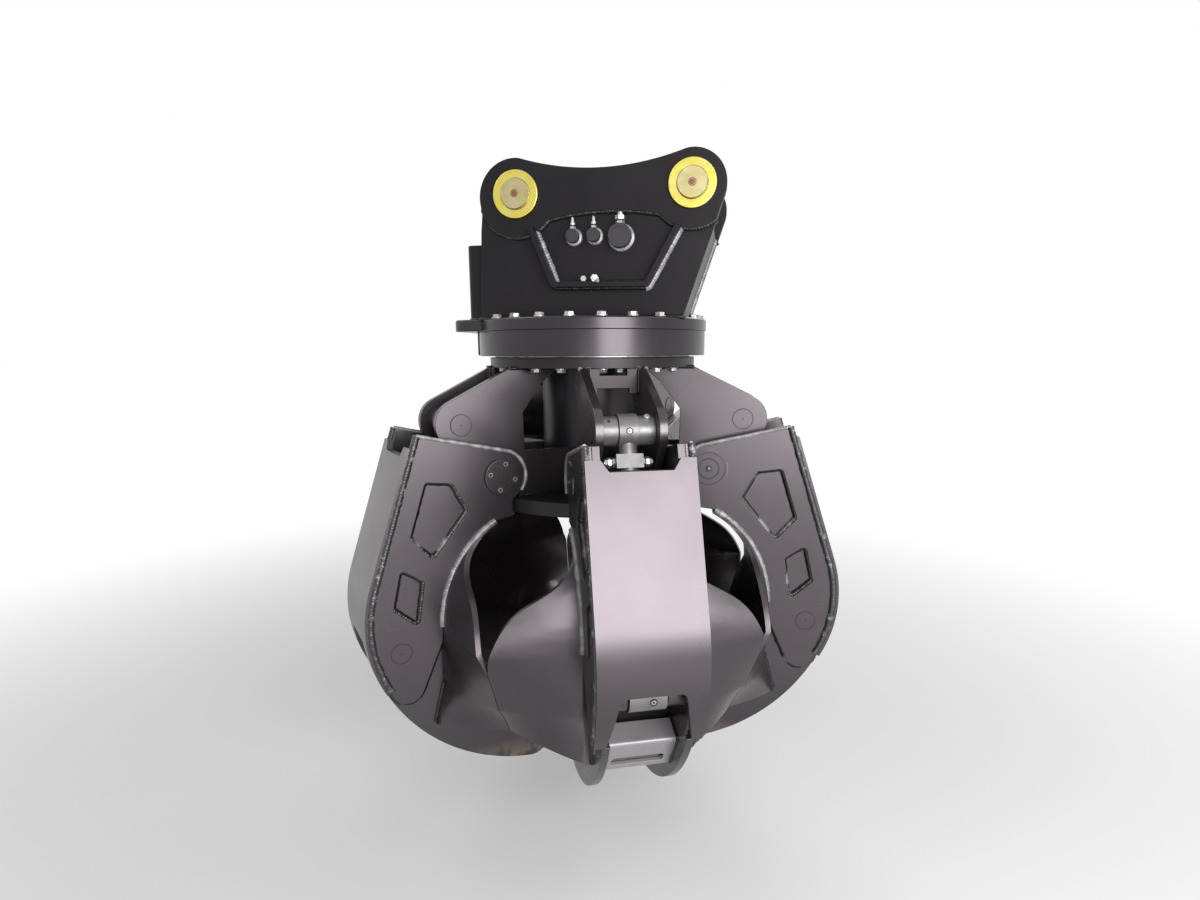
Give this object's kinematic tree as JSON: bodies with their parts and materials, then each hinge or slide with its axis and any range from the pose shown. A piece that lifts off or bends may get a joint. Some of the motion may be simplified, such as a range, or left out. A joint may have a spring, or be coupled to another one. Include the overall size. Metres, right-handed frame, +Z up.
{
  "type": "excavator grapple",
  "caption": "Rotating orange-peel grapple for an excavator: two-pin head, slewing ring, hub and closed-shell tines, each worked by its own cylinder.",
  "frame": {"origin": "centre of the stick pin, midway between the head's ears", "axes": "+X from the stick pin to the link pin, +Y along the stick pin, +Z up, away from the tines"},
  "size_m": [1.4958, 1.5459, 1.7823],
  "materials": {
    "dark_paint": "dark charcoal semi-gloss paint",
    "zinc_yellow": "yellow-passivated zinc plate, satin",
    "zinc_steel": "bright zinc plate",
    "steel": "turned steel",
    "chrome_rod": "hard chrome, polished"
  },
  "bodies": {
    "head": {"head_side_plates": "dark_paint", "head_doublers": "dark_paint", "head_end_plates": "dark_paint", "base_flange": "dark_paint", "outer_ring": "dark_paint", "stick_pin": "zinc_yellow", "link_pin": "zinc_yellow", "guard_bars": "dark_paint", "port_couplings": "steel", "flange_bolts": "zinc_steel", "slew_motor": "dark_paint", "swivel_housing": "dark_paint"},
    "pinion": {"drive_pinion": "steel"},
    "hub": {"inner_ring": "steel", "swivel_core": "steel", "hub_spine": "dark_paint", "hub_wing_plates": "dark_paint", "hub_webs": "dark_paint", "ear_pins": "steel", "ring_bolts": "zinc_steel"},
    "tine_1": {"tine_1_side_plates": "dark_paint", "tine_1_cheek_plates": "dark_paint", "tine_1_back_plate": "dark_paint", "tine_1_leaf": "dark_paint", "tine_1_cross_box": "dark_paint", "tine_1_pins": "steel"},
    "rod_1": {"cylinder_1_rod": "chrome_rod"},
    "barrel_1": {"cylinder_1_barrel": "dark_paint"},
    "tine_2": {"tine_2_side_plates": "dark_paint", "tine_2_cheek_plates": "dark_paint", "tine_2_back_plate": "dark_paint", "tine_2_leaf": "dark_paint", "tine_2_cross_box": "dark_paint", "tine_2_pins": "steel"},
    "rod_2": {"cylinder_2_rod": "chrome_rod"},
    "barrel_2": {"cylinder_2_barrel": "dark_paint"},
    "tine_3": {"tine_3_side_plates": "dark_paint", "tine_3_cheek_plates": "dark_paint", "tine_3_back_plate": "dark_paint", "tine_3_leaf": "dark_paint", "tine_3_cross_box": "dark_paint", "tine_3_pins": "steel"},
    "rod_3": {"cylinder_3_rod": "chrome_rod"},
    "barrel_3": {"cylinder_3_barrel": "dark_paint"},
    "tine_4": {"tine_4_side_plates": "dark_paint", "tine_4_cheek_plates": "dark_paint", "tine_4_back_plate": "dark_paint", "tine_4_leaf": "dark_paint", "tine_4_cross_box": "dark_paint", "tine_4_pins": "steel"},
    "rod_4": {"cylinder_4_rod": "chrome_rod"},
    "barrel_4": {"cylinder_4_barrel": "dark_paint"},
    "tine_5": {"tine_5_side_plates": "dark_paint", "tine_5_cheek_plates": "dark_paint", "tine_5_back_plate": "dark_paint", "tine_5_leaf": "dark_paint", "tine_5_cross_box": "dark_paint", "tine_5_pins": "steel"},
    "rod_5": {"cylinder_5_rod": "chrome_rod"},
    "barrel_5": {"cylinder_5_barrel": "dark_paint"}
  },
  "joints": [
    {"name": "slew", "type": "hinge", "parent": "head", "child": "hub", "pos_m": [0.173, 0, -0.4], "axis": [0, 0, 1], "continuous": true},
    {"name": "pinion_spin", "type": "hinge", "parent": "head", "child": "pinion", "pos_m": [-0.019, 0, -0.4], "axis": [0, 0, 1], "continuous": true},
    {"name": "tine_1_open", "type": "hinge", "parent": "hub", "child": "tine_1", "pos_m": [0.30524, -0.34342, -0.776], "axis": [-0.9332, -0.3593, 0], "range_deg": [0, 60]},
    {"name": "rod_1_swing", "type": "hinge", "parent": "hub", "child": "rod_1", "pos_m": [0.34081, -0.43581, -0.629], "axis": [-0.9332, -0.3593, 0], "range_deg": [0, 56]},
    {"name": "barrel_1_slide", "type": "slide", "parent": "rod_1", "child": "barrel_1", "axis": [-0.1151, 0.299, 0.9473], "range_m": [0, 0.174]},
    {"name": "tine_2_open", "type": "hinge", "parent": "hub", "child": "tine_2", "pos_m": [0.54048, 0.01964, -0.776], "axis": [0.0534, -0.9986, 0], "range_deg": [0, 60]},
    {"name": "rod_2_swing", "type": "hinge", "parent": "hub", "child": "rod_2", "pos_m": [0.63933, 0.02493, -0.629], "axis": [0.0534, -0.9986, 0], "range_deg": [0, 56]},
    {"name": "barrel_2_slide", "type": "slide", "parent": "rod_2", "child": "barrel_2", "axis": [-0.3199, -0.0171, 0.9473], "range_m": [0, 0.174]},
    {"name": "tine_3_open", "type": "hinge", "parent": "hub", "child": "tine_3", "pos_m": [0.26787, 0.35556, -0.776], "axis": [0.9662, -0.2578, 0], "range_deg": [0, 60]},
    {"name": "rod_3_swing", "type": "hinge", "parent": "hub", "child": "rod_3", "pos_m": [0.2934, 0.45121, -0.629], "axis": [0.9662, -0.2578, 0], "range_deg": [0, 56]},
    {"name": "barrel_3_slide", "type": "slide", "parent": "rod_3", "child": "barrel_3", "axis": [-0.0826, -0.3095, 0.9473], "range_m": [0, 0.174]},
    {"name": "tine_4_open", "type": "hinge", "parent": "hub", "child": "tine_4", "pos_m": [-0.13584, 0.2001, -0.776], "axis": [0.5438, 0.8392, 0], "range_deg": [0, 60]},
    {"name": "rod_4_swing", "type": "hinge", "parent": "hub", "child": "rod_4", "pos_m": [-0.21893, 0.25394, -0.629], "axis": [0.5438, 0.8392, 0], "range_deg": [0, 56]},
    {"name": "barrel_4_slide", "type": "slide", "parent": "rod_4", "child": "barrel_4", "axis": [0.2689, -0.1742, 0.9473], "range_m": [0, 0.174]},
    {"name": "tine_5_open", "type": "hinge", "parent": "hub", "child": "tine_5", "pos_m": [-0.11275, -0.23189, -0.776], "axis": [-0.6301, 0.7765, 0], "range_deg": [0, 60]},
    {"name": "rod_5_swing", "type": "hinge", "parent": "hub", "child": "rod_5", "pos_m": [-0.18962, -0.29427, -0.629], "axis": [-0.6301, 0.7765, 0], "range_deg": [0, 56]},
    {"name": "barrel_5_slide", "type": "slide", "parent": "rod_5", "child": "barrel_5", "axis": [0.2488, 0.2019, 0.9473], "range_m": [0, 0.174]}
  ],
  "couplings": [
    {"joint": "pinion_spin", "follows": "slew", "ratio": 4},
    {"joint": "rod_1_swing", "follows": "tine_1_open", "ratio": 0.927},
    {"joint": "barrel_1_slide", "follows": "tine_1_open", "m_per_rad": 0.165},
    {"joint": "rod_2_swing", "follows": "tine_2_open", "ratio": 0.927},
    {"joint": "barrel_2_slide", "follows": "tine_2_open", "m_per_rad": 0.165},
    {"joint": "rod_3_swing", "follows": "tine_3_open", "ratio": 0.927},
    {"joint": "barrel_3_slide", "follows": "tine_3_open", "m_per_rad": 0.165},
    {"joint": "rod_4_swing", "follows": "tine_4_open", "ratio": 0.927},
    {"joint": "barrel_4_slide", "follows": "tine_4_open", "m_per_rad": 0.165},
    {"joint": "rod_5_swing", "follows": "tine_5_open", "ratio": 0.927},
    {"joint": "barrel_5_slide", "follows": "tine_5_open", "m_per_rad": 0.165}
  ]
}
